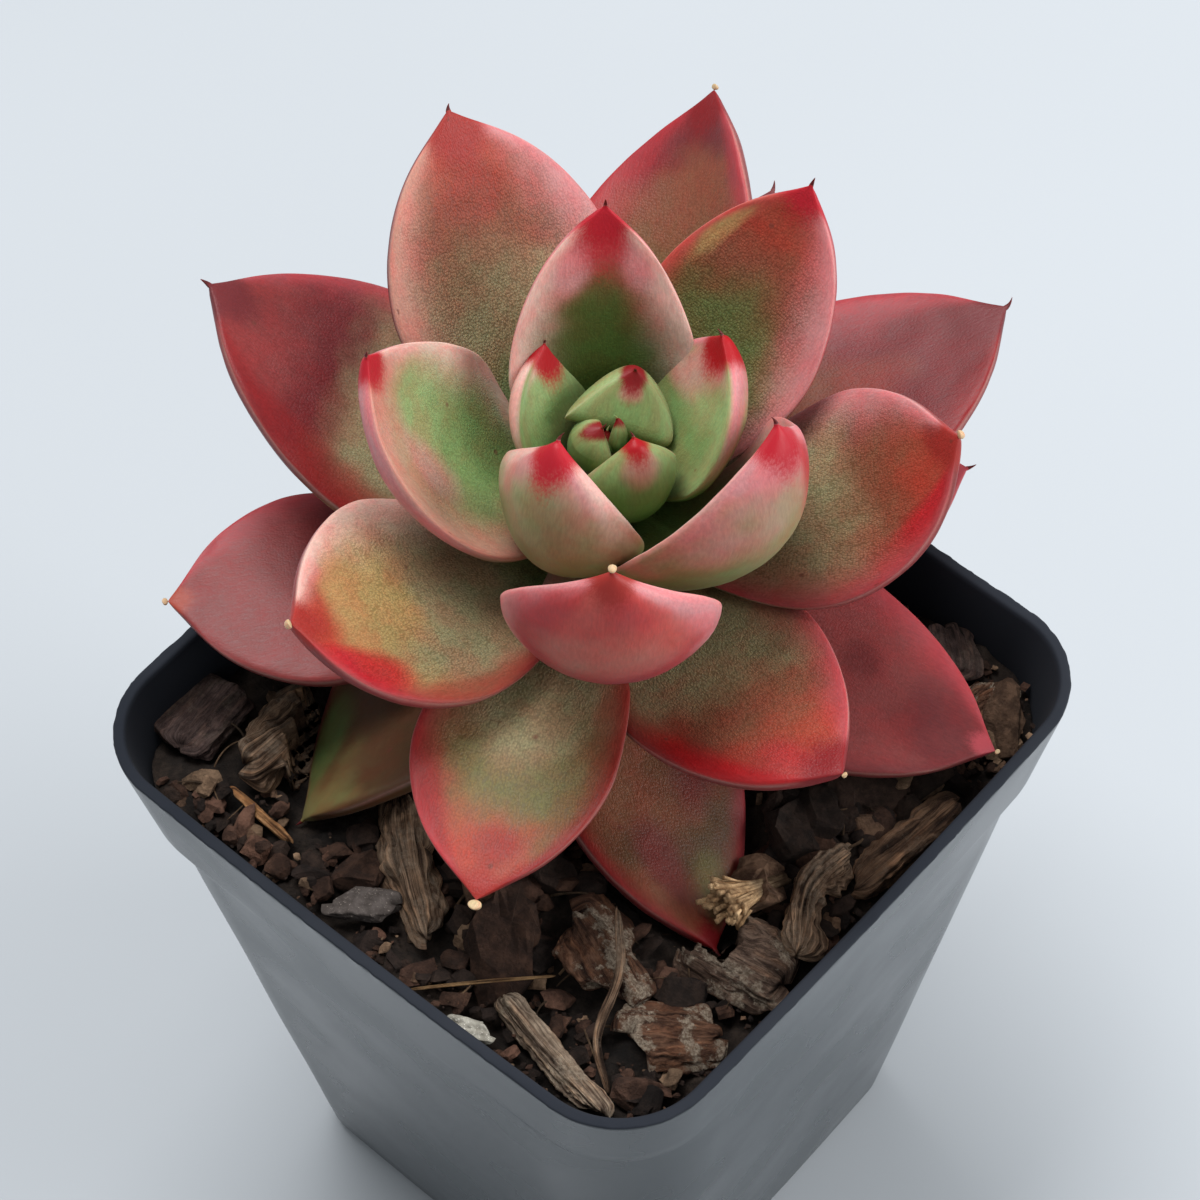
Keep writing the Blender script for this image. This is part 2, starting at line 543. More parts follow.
def leaf_finish(name, flesh):
    """Waxy leaf skin: the painted tint, red that breaks up into stipple, rows of fine dots, dust
    of pale grains, small brown spots, and a soft bloom over flesh that lets some light through."""
    f = Finish(name)
    plain = f.place(label="at_skin")
    fine = f.noise(f.place((1.1, 4.2, 1), "at_skin"), 1.0, 4, 0.65)
    stipple = f.noise(plain, 3.4, 3, 0.7)
    cloud = f.span(f.noise(plain, 0.3, 4, 0.6), 0.35, 0.65)
    tint = f.mark("tint").outputs["Color"]
    blush = f.mark("blush").outputs["Fac"]
    dust = f.mark("dust").outputs["Fac"]
    base = f.mix(cloud, f.times(tint, (1.1, 0.86, 0.84)), f.times(tint, (0.98, 1.06, 1.0)))
    streak = f.span(fine, 0.25, 0.75)
    base = f.mix(streak, f.times(base, (0.86, 0.86, 0.86)), f.times(base, (1.1, 1.1, 1.09)))
    broken = f.math("ADD", blush, f.math("MULTIPLY", f.math("SUBTRACT", stipple, 0.5), 0.8))
    broken = f.math("MULTIPLY", f.span(broken, 0.05, 0.8), f.span(blush, 0.0, 0.15))
    base = f.mix(broken, base, f.mark("tip_tint").outputs["Color"])
    grain = f.cells(f.place((3.6, 5.4, 1), "at_skin"), 1.0, 0.75)
    here = f.span(f.noise(plain, 0.7, 4), 0.3, 0.62, 0.3, 1.0)
    pale = f.math("MULTIPLY", f.math("MULTIPLY", f.span(grain, 0.42, 0.12), dust), here)
    base = f.mix(f.math("MULTIPLY", pale, 0.6), base, f.times(base, (1.7, 1.68, 1.55)))
    pore = f.math("MULTIPLY", f.span(grain, 0.5, 0.72), f.math("MULTIPLY", dust, 0.75))
    base = f.mix(pore, base, f.times(base, (0.6, 0.6, 0.55)))
    spot = f.span(f.cells(plain, 0.16), 0.06, 0.03)
    base = f.mix(f.math("MULTIPLY", spot, 0.6), base, (0.12, 0.03, 0.02))
    relief = f.bump(f.math("SUBTRACT", pale, pore), 0.08, 0.6, f.bump(fine, 0.05, 0.5))
    f.set(Base_Color=base, Roughness=f.span(fine, 0.2, 0.8, 0.36, 0.5), Specular_IOR_Level=0.24,
          Subsurface_Weight=flesh, Subsurface_Radius=(1.0, 0.35, 0.2), Subsurface_Scale=0.0016,
          Sheen_Weight=0.015, Sheen_Roughness=0.45, Normal=relief)
    return f.material


def bark_finish(name, dark, light, stretch, crust=0.0, grain=1.0):
    """Bark or wood: fibres stretched along the piece, dark in their gaps, with pale crust on top."""
    f = Finish(name)
    plain = f.place()
    fibre = f.noise(f.place((stretch, 2.2, 2.2), "at_skin"), grain, 7, 0.7, 0.6)
    lump = f.span(f.noise(plain, 0.4 * grain, 6, 0.65), 0.62, 0.38, 0.0, 0.8)
    tone = f.mark("tone").outputs["Fac"]
    body = f.mix(f.span(fibre, 0.32, 0.7), paint(dark), paint(light))
    body = f.mix(lump, body, f.times(body, (0.45, 0.4, 0.38)))
    body = f.mix(f.span(tone, 0.45, 0.1, 0.0, 0.85), body, f.times(body, (0.2, 0.16, 0.15)))
    body = f.mix(f.span(tone, 0.55, 1.0, 0.0, 0.8), body, f.times(body, (1.9, 1.7, 1.5)))
    normal = f.node("ShaderNodeNewGeometry").outputs["Normal"]
    up = f.node("ShaderNodeSeparateXYZ", {0: normal}).outputs["Z"]
    patch = f.span(f.noise(plain, 0.28, 6, 0.7), 0.5, 0.56)
    cover = f.math("MULTIPLY", f.math("MULTIPLY", patch, f.span(up, 0.0, 0.6)), crust)
    speck = f.span(f.noise(plain, 2.6, 4, 0.8), 0.35, 0.7)
    body = f.mix(cover, body, f.mix(speck, (0.16, 0.11, 0.075), (0.5, 0.42, 0.32)))
    relief = f.bump(f.noise(plain, 2.2, 6, 0.75), 0.5, 0.9, f.bump(fibre, 0.6, 1.0))
    f.set(Base_Color=body, Roughness=0.92, Specular_IOR_Level=0.2, Normal=relief)
    return f.material


def mix_finish(name):
    """Damp crumbled bark in the tint kept on the mesh: dark clouds over it and paler grit."""
    f = Finish(name)
    plain = f.place()
    coarse = f.noise(plain, 0.5, 5, 0.7)
    grit = f.noise(plain, 2.8, 5, 0.75)
    tint = f.mark("tint").outputs["Color"]
    body = f.mix(f.span(coarse, 0.38, 0.66), f.times(tint, (0.35, 0.33, 0.32)), tint)
    body = f.mix(f.span(grit, 0.6, 0.75, 0.0, 0.55), body, f.times(body, (3.0, 2.6, 2.3)))
    relief = f.bump(grit, 0.4, 0.9, f.bump(coarse, 0.8, 0.7))
    f.set(Base_Color=body, Roughness=0.88, Specular_IOR_Level=0.25, Normal=relief)
    return f.material


def stone_finish(name, body, speck):
    """Fine-grained pebble: cloudy body with small specks."""
    f = Finish(name)
    plain = f.place()
    cloud = f.noise(plain, 0.6, 4, 0.6)
    grit = f.noise(plain, 4.0, 3, 0.7)
    body = paint(body)
    colour = f.mix(f.span(cloud, 0.35, 0.7), f.times(body, (0.5, 0.48, 0.46)), body)
    colour = f.mix(f.span(grit, 0.58, 0.7), colour, paint(speck))
    f.set(Base_Color=colour, Roughness=0.8, Specular_IOR_Level=0.3, Normal=f.bump(grit, 0.2, 0.6))
    return f.material


def pot_finish(name, plastic):
    """Thin moulded plastic: hazed slate outside where it is worn, navy black at the lip and inside,
    with slow clouds of gloss, a few rubbed spots and fine dirt."""
    f = Finish(name)
    plain = f.place()
    worn = f.mark("worn").outputs["Fac"]
    cloud = f.span(f.noise(plain, 0.035, 3, 0.5), 0.3, 0.7)
    rub = f.noise(plain, 0.07, 3, 0.5)
    dirt = f.span(f.noise(plain, 1.3, 3, 0.8), 0.72, 0.8)
    hazed = f.mix(cloud, plastic, f.times(plastic, (1.5, 1.45, 1.4)))
    colour = f.mix(worn, (0.004, 0.007, 0.014), hazed)
    colour = f.mix(f.math("MULTIPLY", dirt, 0.4), colour, (0.03, 0.027, 0.025))
    rough = f.math("ADD", f.span(rub, 0.3, 0.7, 0.2, 0.3), f.math("MULTIPLY", dirt, 0.3))
    rough = f.math("ADD", rough, f.span(worn, 0.0, 1.0, 0.65, 0.0))
    relief = f.bump(f.noise(plain, 0.05, 1, 0.5), 0.1, 0.2)
    f.set(Base_Color=colour, Roughness=rough, Specular_IOR_Level=0.5, Normal=relief)
    return f.material


# The rosette

def photo_axes():
    """Level directions toward the front of the photograph and toward its right."""
    turn = np.radians(FRONT_AZIMUTH)
    return np.array([np.sin(turn), -np.cos(turn), 0]), np.array([np.cos(turn), np.sin(turn), 0])


def rosette_frame():
    """Foot and axes of the rosette: it leans to the front and the right from behind the middle."""
    front, right = photo_axes()
    lean_front, lean_right = np.tan(np.radians([LEAN_FRONT, LEAN_RIGHT]))
    axis = np.array([0, 0, 1]) + lean_front * front + lean_right * right
    axis /= np.linalg.norm(axis)
    ahead = front - axis * front.dot(axis)
    ahead /= np.linalg.norm(ahead)
    foot = ROSETTE_RIGHT * right - ROSETTE_BACK * front + np.array([0, 0, POT_HEIGHT])
    return foot, np.stack([ahead, np.cross(axis, ahead), axis])


def leaf_rule(k):
    """Sizes of leaf k, counted from the youngest: the growth rule with this leaf's departures."""
    own = dict(turn=0, rise=0, longer=0, wider=0, curl=0, waist=USUAL_WAIST, roll=0, sway=0,
               cup=max(OLDEST_CUP, YOUNGEST_CUP - CUP_STEP * k))
    own.update(DEPARTURES[k])
    grown = FULL_LENGTH / (1 + np.exp((HALF_GROWN_AGE - k) / LENGTH_AGES))
    widened = FULL_HALF_WIDTH * (1 - np.exp(-(k + WIDTH_HEAD_START) / WIDTH_AGES))
    return dict(
        azimuth=np.radians(FIRST_AZIMUTH - GOLDEN_ANGLE * k + own["turn"]),
        rise=np.radians(YOUNGEST_RISE - RISE_STEP * k + own["rise"]),
        chord=grown - WITHERING_STEP * max(0, k - WITHERING_AGE) + own["longer"],
        curl=np.radians(YOUNGEST_CURL - CURL_STEP * k + own["curl"]),
        half_width=widened + own["wider"],
        thickness=min(FULL_THICKNESS, YOUNGEST_THICKNESS + THICKNESS_STEP * k),
        foot_radius=FOOT_RADIUS + FOOT_SPREAD * min(1, k / SPREAD_AGE),
        foot_height=STEM_TOP - LEAF_PITCH * k,
        waist=own["waist"], cup=own["cup"], roll=np.radians(own["roll"]), sway=own["sway"],
        fill=YOUNG_FILL * float(1 - smooth(k, FILLED_AGE, HOLLOW_AGE)), bead=BEADS.get(k, 0.0),
    )


def middle_line(leaf, u, v, length, spine, curl_side):
    """Centres of a leaf's rings with their wide and deep directions: the line bends evenly about
    the chord from foot to tip and sways to the side with the square of the way, its directions
    roll toward the tip, and past the tip it goes on into the curled point."""
    start = leaf["rise"] - leaf["curl"] / 2
    heading = start + leaf["curl"] * u
    out = np.array([np.cos(leaf["azimuth"]), np.sin(leaf["azimuth"]), 0])
    aside = np.array([-np.sin(leaf["azimuth"]), np.cos(leaf["azimuth"]), 0])
    up = np.array([0, 0, 1.0])
    reach = length / leaf["curl"] * (np.sin(heading) - np.sin(start))
    climb = length / leaf["curl"] * (np.cos(start) - np.cos(heading))
    run = np.cos(heading)[:, None] * out + np.sin(heading)[:, None] * up
    tangent = run + (2 * leaf["sway"] * u / length)[:, None] * aside
    tangent /= np.linalg.norm(tangent, axis=1, keepdims=True)
    centre = ((leaf["foot_radius"] + reach)[:, None] * out + (leaf["foot_height"] + climb)[:, None] * up
              + (leaf["sway"] * u * u)[:, None] * aside)
    face = -np.sin(heading)[:, None] * out + np.cos(heading)[:, None] * up
    face -= (face * tangent).sum(axis=1, keepdims=True) * tangent
    face /= np.linalg.norm(face, axis=1, keepdims=True)
    across = np.cross(face, tangent)
    twist = (leaf["roll"] * u)[:, None]
    wide = across * np.cos(twist) + face * np.sin(twist)
    deep = -across * np.sin(twist) + face * np.cos(twist)
    bend = (v * v)[:, None] * (0.25 * deep + 0.8 * curl_side * wide)
    return centre + spine * (v[:, None] * tangent + bend), wide, deep


def leaf_surface(leaf, rows, columns, spine, seed):
    """Rings of a leaf and its marks. Across the middle line lies a lens with full edges, rounder
    below, hollowed by cup toward its margins, the hollow filled again above in young leaves. The
    blade is widest at its waist, draws in to a point and ends in a thin dry spine or a bead."""
    u = 1 - (1 - np.linspace(0, 1, rows)) ** TIP_CROWDING
    v = np.concatenate([np.zeros(rows), np.linspace(0, 1, POINT_RINGS + 1)[1:]])
    u = np.concatenate([u, np.ones(POINT_RINGS)])
    half = leaf["curl"] / 2
    length = leaf["chord"] * half / np.sin(half)
    curl_side = (draw(seed) - 0.5) * (leaf["bead"] == 0)
    centre, wide, deep = middle_line(leaf, u, v, length, spine, curl_side)

    past = np.clip((u - leaf["waist"]) / (1 - leaf["waist"]), 0, 1)
    before = np.sin(np.pi / 2 * np.minimum(1, u / leaf["waist"]))
    neck = BASE_SHARE + (1 - BASE_SHARE) * before ** NECK_SHAPE
    outline = np.where(u < leaf["waist"], neck, (1 - past ** SIDE_SHAPE) ** POINT_SHAPE)
    tip_mm = (1 - u) * length
    pinch = 1 - PINCH * np.exp(-(tip_mm / (PINCH_PER_LENGTH * length + PINCH_REACH)) ** 1.4)
    point = (POINT_THICKNESS + POINT_PER_WIDTH * leaf["half_width"]) * (1 - 0.85 * v)
    if leaf["bead"]:
        ball = np.sqrt(np.clip(1 - (2.2 * v - 1.1) ** 2, 0, 1))
        point = np.maximum(0.03, leaf["bead"] * ball)
    w = np.maximum(leaf["half_width"] * outline * pinch, point)
    swell = 0.5 + 0.5 * np.sin(np.pi / 2 * np.minimum(1, u / SWELL_END))
    thin = np.sqrt(np.minimum(1, (1 - u) / THIN_END))
    t = np.maximum(np.minimum(leaf["thickness"] * swell * thin, FATTEST * w), 1.6 * point)
    cup = leaf["cup"] * before * (1 - CUP_LOSS * past * past) * (w / leaf["half_width"])

    angle = 2 * np.pi * np.arange(columns) / columns
    side = np.cos(angle)[None, :]
    height = np.sin(angle)[None, :]
    height = np.sign(height) * np.abs(height) ** EDGE_FULLNESS
    lens = t[:, None] * height * np.where(height > 0, UPPER_SHARE, 1 - UPPER_SHARE)
    filled = leaf["fill"] * cup[:, None] * (1 - side ** 2) * (height > 0)
    flat = np.zeros((len(u), columns))
    along_mm = (u * length + v * spine)[:, None] + flat
    across_mm = w[:, None] * side
    place = np.stack([along_mm, across_mm, height * 9 + 40.0 * seed + flat], axis=-1)
    calm = smooth(tip_mm, 0.5, 4)[:, None] * smooth(w, 0.5, 3)[:, None]
    uneven = calm * (0.16 * rumple(place, 5.5, seed) + 0.05 * rumple(place, 1.7, seed + 3))
    body = lens + cup[:, None] * side ** 2 + filled + uneven
    rings = centre[:, None] + wide[:, None] * across_mm[..., None] + deep[:, None] * body[..., None]
    rim = np.hypot(w[:, None] * (1 - np.abs(side)), lens)
    marks = dict(u=u[:, None] + flat, v=v[:, None] + flat, s=side + flat, up=height + flat, rim=rim,
                 tip=tip_mm[:, None] + flat, across=across_mm, place=place)
    return rings, marks


def over(base, colour, share):
    """A colour laid over a base by a share for each point."""
    return base + (colour - base) * share[..., None]


def marked(base, patches, m, drift):
    """A tint with round patches laid over it, their edges broken by the drift."""
    for along, across, long, wide, colour, share in patches:
        blot = ((m["u"] - along) / long) ** 2 + ((m["s"] - across) / wide) ** 2
        base = over(base, colour, share * (1 - smooth(blot + 3 * drift, 0.0, 1.5)))
    return base


def leaf_paint(look, m, half_width, seed):
    """Tint, tip tint, blush and dust of a leaf from its looks: the middle goes through its colours
    from foot to tip, the margins fade in over their widths, patches lie where they are listed, and
    the tip is a fan of red under the spine."""
    drift = 0.16 * rumple(m["place"], 6.0, seed + 11) + 0.06 * rumple(m["place"], 1.6, seed + 13)
    way = m["u"] + 0.6 * drift
    edge = np.abs(m["s"]) + drift
    foot, heart, field, glow = look["line"]
    tint = over(np.broadcast_to(foot, m["u"].shape + (3,)), heart, smooth(way, 0.12, 0.4))
    tint = over(over(tint, field, smooth(way, 0.5, 0.7)), glow, smooth(way, 0.72, 0.88))
    for sign, key in ((1, "ccw"), (-1, "cw")):
        colour, width = look[key]
        inside = half_width * (1 - sign * m["s"]) * 0.9 + m["rim"] * 0.3
        band = np.exp(-(inside * (1 - 2 * drift) / width) ** 2) * smooth(sign * m["s"], 0.0, 0.3)
        tint = over(tint, colour, 0.92 * band * smooth(m["u"], 0.05, 0.3))
    tint = marked(tint, look.get("patches", ()), m, drift)
    low, middle, high = look["back"]
    back = over(np.broadcast_to(low, tint.shape), middle, smooth(way, 0.42, 0.64))
    back = over(back, high, smooth(way, 0.64, 0.86))
    back = over(back, look.get("back_edge", high), smooth(edge, 0.7, 1) * smooth(m["u"], 0.3, 0.6))
    back = marked(back, look.get("back_patches", ()), m, drift)
    under = smooth(m["up"], 0.1, -0.12)
    tint = over(tint, back, under)
    tip_tint, size = look["tip"]
    fan = m["tip"] / size + (m["across"] / (0.75 * size)) ** 2
    blush = (1 - smooth(fan + drift, 0.05, 1.3)) * (m["v"] <= 0)
    rim_line = np.exp(-(m["rim"] / 0.12) ** 2) * smooth(m["tip"], 1.0, 5) * smooth(m["u"], 0.1, 0.4)
    tint = over(tint, PALE_PINK, 0.3 * rim_line)
    dust = look["dust"] * (1 - 0.8 * smooth(edge, 0.6, 1.0)) * (1 - 0.7 * smooth(m["u"], 0.6, 1))
    return tint, np.broadcast_to(tip_tint, tint.shape), blush, dust * (1 - under)


def rosette_piece(name, grown, material, node):
    """A piece in the rosette's axes from one or more tubes: grown has the rings of each, then its
    tint, tip tint, blush, dust and place on the skin."""
    rings, *marks = (np.stack(part) for part in zip(*grown))
    foot, axes = rosette_frame()
    points, quads, ends = many_tubes(rings)
    labels = ("tint", "tip_tint", "blush", "dust", "at_skin")
    marks = dict(zip(labels, map(on_points, marks)))
    return new_piece(name, foot + points @ axes, quads, ends, material, [node], marks)


class SUCCULENT_OT_leaves(bpy.types.Operator):
    """Grows the leaves of the rosette, youngest first"""
    bl_idname = "succulent.leaves"
    bl_label = "Leaves"

    def execute(self, context):
        settings = context.scene.rosette_settings
        slots = ("leaf_inner", "leaf_middle", "leaf_outer")
        finishes = {slot: leaf_finish(f"{slot}_skin", settings.flesh) for slot in slots}
        for k in range(LEAF_COUNT):
            name = f"leaf_{k + 1:02d}"
            slot = frame_slot(name)
            leaf = leaf_rule(k)
            spine = settings.spine / MM * (0.5 + 0.5 * min(1, k / 9)) * (0.8 + 0.5 * draw(k + 70))
            spine = 1.7 * leaf["bead"] or spine
            rings, m = leaf_surface(leaf, settings.rows, settings.columns, spine, k)
            tint, *rest = leaf_paint(LOOKS[k], m, leaf["half_width"], k)
            dry = CREAM if leaf["bead"] else MAROON
            tint = over(tint, dry, smooth(m["v"] + 0.2 * (m["tip"] < 0.5), 0.1, 0.4))
            grown = [(rings, tint, *rest, m["place"])]
            rosette_piece(f"{name}_skin", grown, finishes[slot], name)
        return {"FINISHED"}


class SUCCULENT_OT_heart(bpy.types.Operator):
    """Sets the tiny youngest leaves into the middle and the stem under them"""
    bl_idname = "succulent.heart"
    bl_label = "Heart and stem"

    def execute(self, context):
        skin = leaf_finish("bud_skin", context.scene.rosette_settings.flesh)
        grown = []
        for n in (1, 2, 3):
            leaf = dict(azimuth=np.radians(FIRST_AZIMUTH + GOLDEN_ANGLE * n), rise=np.radians(88),
                        chord=5.6 - 0.7 * n, curl=np.radians(30), half_width=1.5 - 0.2 * n,
                        thickness=1.3, foot_radius=0.5, foot_height=STEM_TOP + 1.2, waist=0.45,
                        cup=0.4, roll=0.0, sway=0.0, fill=0.8, bead=0.0)
            rings, m = leaf_surface(leaf, 30, 28, 0.5, n + 50)
            grown.append((rings, *leaf_paint(BUD_LOOKS, m, leaf["half_width"], n + 50), m["place"]))
        rosette_piece("centre_bud_skin", grown, skin, "centre_bud")
        rosette_piece("stem_skin", [self.stem()], skin, "stem")
        return {"FINISHED"}

    def stem(self):
        """Rings and marks of the stem: turned along its profile, ringed by leaf scars."""
        profile = np.array([[0.4, -STEM_SINK], [1.6, -STEM_SINK + 0.5], [3.4, -STEM_SINK + 4],
                            [3.9, -12], [4, -4], [4.1, STEM_TOP - 14 * LEAF_PITCH],
                            [1.1, STEM_TOP - 0.3], [0.6, STEM_TOP + 0.4]])
        t = np.linspace(0, 1, 90)
        at = np.linspace(0, 1, len(profile))
        radius, level = (np.interp(t, at, profile[:, c]) for c in (0, 1))
        angle = 2 * np.pi * np.arange(48) / 48
        scars = 0.12 * np.sin(level[:, None] * 2.4 + 3 * angle) * smooth(radius, 1.5, 3)[:, None]
        r = radius[:, None] + scars
        rings = np.stack([r * np.cos(angle), r * np.sin(angle), level[:, None] + 0 * r], axis=-1)
        rings = rings + 0.08 * rumple(rings, 1.5, 4)[..., None]
        buried = smooth(level, 4, -8)[:, None, None]
        tint = SAGE * 0.7 + (UMBER - SAGE) * buried + 0 * rings
        zero = np.zeros(r.shape)
        return rings, tint, np.broadcast_to(CRIMSON, tint.shape), zero, zero, rings


# The pot

def square_ring(half, corner, z, straight=130, arc=46):
    """A square with rounded corners as rows of rings: half, corner and z may be arrays. Each side
    bows out by a parabola, and each corner is a quarter circle."""
    half, corner, z = (np.atleast_1d(np.asarray(a, float))[:, None] for a in (half, corner, z))
    along = -1 + 2 * np.arange(straight)[None, :] / straight
    swell = BOW * (1 - along ** 2) * half / (RIM_WIDTH / 2)
    flat = np.stack([half + swell, along * (half - corner)], axis=-1)
    turn = np.arange(arc)[None, :] / arc * np.pi / 2
    middle = half - corner
    bend = np.stack([middle + corner * np.cos(turn), middle + corner * np.sin(turn)], axis=-1)
    x, y = np.moveaxis(np.concatenate([flat, bend], axis=1), -1, 0)
    quarters = ((x, y), (-y, x), (-x, -y), (y, -x))
    ring = np.concatenate([np.stack(quarter, axis=-1) for quarter in quarters], axis=1)
    return np.concatenate([ring, z[..., None] + 0 * ring[..., :1]], axis=-1)


def wall_half(z):
    """Half the pot's outer width at height z: it narrows evenly downward."""
    return RIM_WIDTH / 2 - TAPER * (POT_HEIGHT - z)


def wall_key(z, inset, corner):
    """A key row of the pot: its height, its half width, inset from the outer wall, its corner."""
    return z, wall_half(z) - inset, corner


def fill_rows(keys, steps):
    """Rows between key rows: steps[i] of them run evenly from key i to key i + 1."""
    keys = np.asarray(keys, float)
    rows = []
    for here, after, count in zip(keys, keys[1:], steps):
        rows.extend(here + (after - here) * share for share in np.arange(count) / count)
    return np.array(rows + [keys[-1]])


class SUCCULENT_OT_pot(bpy.types.Operator):
    """Moulds the square tapered pot with its collar, trimmed lip and drain holes"""
    bl_idname = "succulent.pot"
    bl_label = "Pot"

    def execute(self, context):
        settings = context.scene.pot_settings
        top = POT_HEIGHT
        foot = COLLAR_FOOT
        base = wall_half(0) - 1.4
        inner = RIM_CORNER - WALL
        outside = [
            (0, 1.0, 0.9), (0, base - 1.2, BASE_CORNER - 1.4), (0, base, BASE_CORNER),
            wall_key(0.5, 0.4, BASE_CORNER), wall_key(2, 0, BASE_CORNER),
            wall_key(foot - 0.3, 0, BODY_CORNER), wall_key(foot, 0, BODY_CORNER - 0.3),
            wall_key(foot + 0.8, 0, RIM_CORNER + 0.2), wall_key(foot + 1.1, 0, RIM_CORNER),
            wall_key(top - 0.7, 0, RIM_CORNER), wall_key(top - 0.25, 0, RIM_CORNER),
        ]
        lip = [
            (top - 0.04, wall_half(top) - 0.1, RIM_CORNER), wall_key(top, 0.3, RIM_CORNER),
            wall_key(top, 1.0, RIM_CORNER - 0.9), (top - 0.15, wall_half(top) - WALL, inner),
        ]
        inside = [
            wall_key(top - 0.6, WALL, inner), wall_key(foot + 1.2, WALL, inner),
            wall_key(foot, WALL, BODY_CORNER - WALL),
            (FLOOR + 0.6, wall_half(FLOOR) - WALL, BASE_CORNER - WALL),
            wall_key(FLOOR, WALL + 0.6, BASE_CORNER - WALL - 0.6), (FLOOR, 1.0, 0.9),
        ]
        steps = [6, 1, 2, 1, 16, 1, 2, 1, 5, 2, 2, 2, 3, 2, 1, 4, 1, 8, 2, 5]
        rows = fill_rows(outside + lip + inside, steps)
        rings = square_ring(rows[:, 1], rows[:, 2], rows[:, 0])
        rings = self.trim(rows, rings, settings.lip_roughness / MM)
        points, quads, ends = closed_tube(rings)
        worn = np.arange(len(rows)) < np.argmax(rows[:, 0] > top - 0.2)
        worn = np.concatenate([np.repeat(worn, rings.shape[1]), [True, False]]).astype(float)
        skin = pot_finish("pot_plastic_skin", tuple(settings.plastic))
        pot = new_piece("pot_shell", points, quads, ends, skin, ["pot"], {"worn": worn})
        for x, y in ((1, 1), (-1, 1), (-1, -1), (1, -1)):
            self.drill(pot, x * DRAIN_OFFSET, y * DRAIN_OFFSET)
        return {"FINISHED"}

    def trim(self, rows, rings, burr_size):
        """The shell's rings with a rough burr along the trimmed lip and slight waves in the walls."""
        out = rings[..., :2] / np.linalg.norm(rings[..., :2], axis=-1, keepdims=True)
        outer = rows[:, 1] > RIM_WIDTH / 2 - 0.5
        lip = np.exp(-((rows[:, 0] - POT_HEIGHT + 0.15) / 0.28) ** 2) * outer
        streaks = rings * [1, 1, 0.1]
        burr = np.clip(rumple(streaks, 0.9, 5) + 0.6 * rumple(streaks, 0.45, 8), -0.6, 1)
        wave = 0.1 * rumple(rings, 14, 3) * (rings[..., 2] > 5) * (rings[..., 2] < 75)
        push = lip[:, None] * (burr - 0.35) * burr_size + wave
        rings[..., :2] += out * push[..., None]
        rings[..., 2] += lip[:, None] * 0.1 * np.minimum(0, burr)
        return rings

    def drill(self, pot, x, y):
        """Cuts one drain hole: a round plug across the floor is taken away from the shell."""
        angle = 2 * np.pi * np.arange(DRAIN_SIDES) / DRAIN_SIDES
        circle = np.stack([x + DRAIN_RADIUS * np.cos(angle), y + DRAIN_RADIUS * np.sin(angle)], axis=-1)
        levels = (np.full((DRAIN_SIDES, 1), z) for z in (-3.0, 6.0))
        rings = np.stack([np.concatenate([circle, level], axis=1) for level in levels])
        points, quads, ends = closed_tube(rings)
        mesh = bpy.data.meshes.new("drain_plug")
        mesh.from_pydata((points * MM).tolist(), [], quads.tolist() + ends.tolist())
        plug = bpy.data.objects.new("drain_plug", mesh)
        bpy.context.scene.collection.objects.link(plug)
        cut = pot.modifiers.new("drain", "BOOLEAN")
        cut.operation = "DIFFERENCE"
        cut.solver = "EXACT"
        cut.object = plug
        evaluated = pot.evaluated_get(bpy.context.evaluated_depsgraph_get())
        finished = bpy.data.meshes.new_from_object(evaluated)
        pot.modifiers.clear()
        old = pot.data
        pot.data = finished
        bpy.data.meshes.remove(old)
        bpy.data.objects.remove(plug)
        bpy.data.meshes.remove(mesh)


# The filling and what lies on it

def loose(look, run, wide, high, rough, ridge, tip=0.66):
    """A loose piece: its look, its run as [x, y, height above the mix], its half width and half
    height, how blocky it is, the depth of its grooves, and the share of its width at its ends."""
    return dict(look=look, run=run, wide=wide, high=high, rough=rough, ridge=ridge, tip=tip)


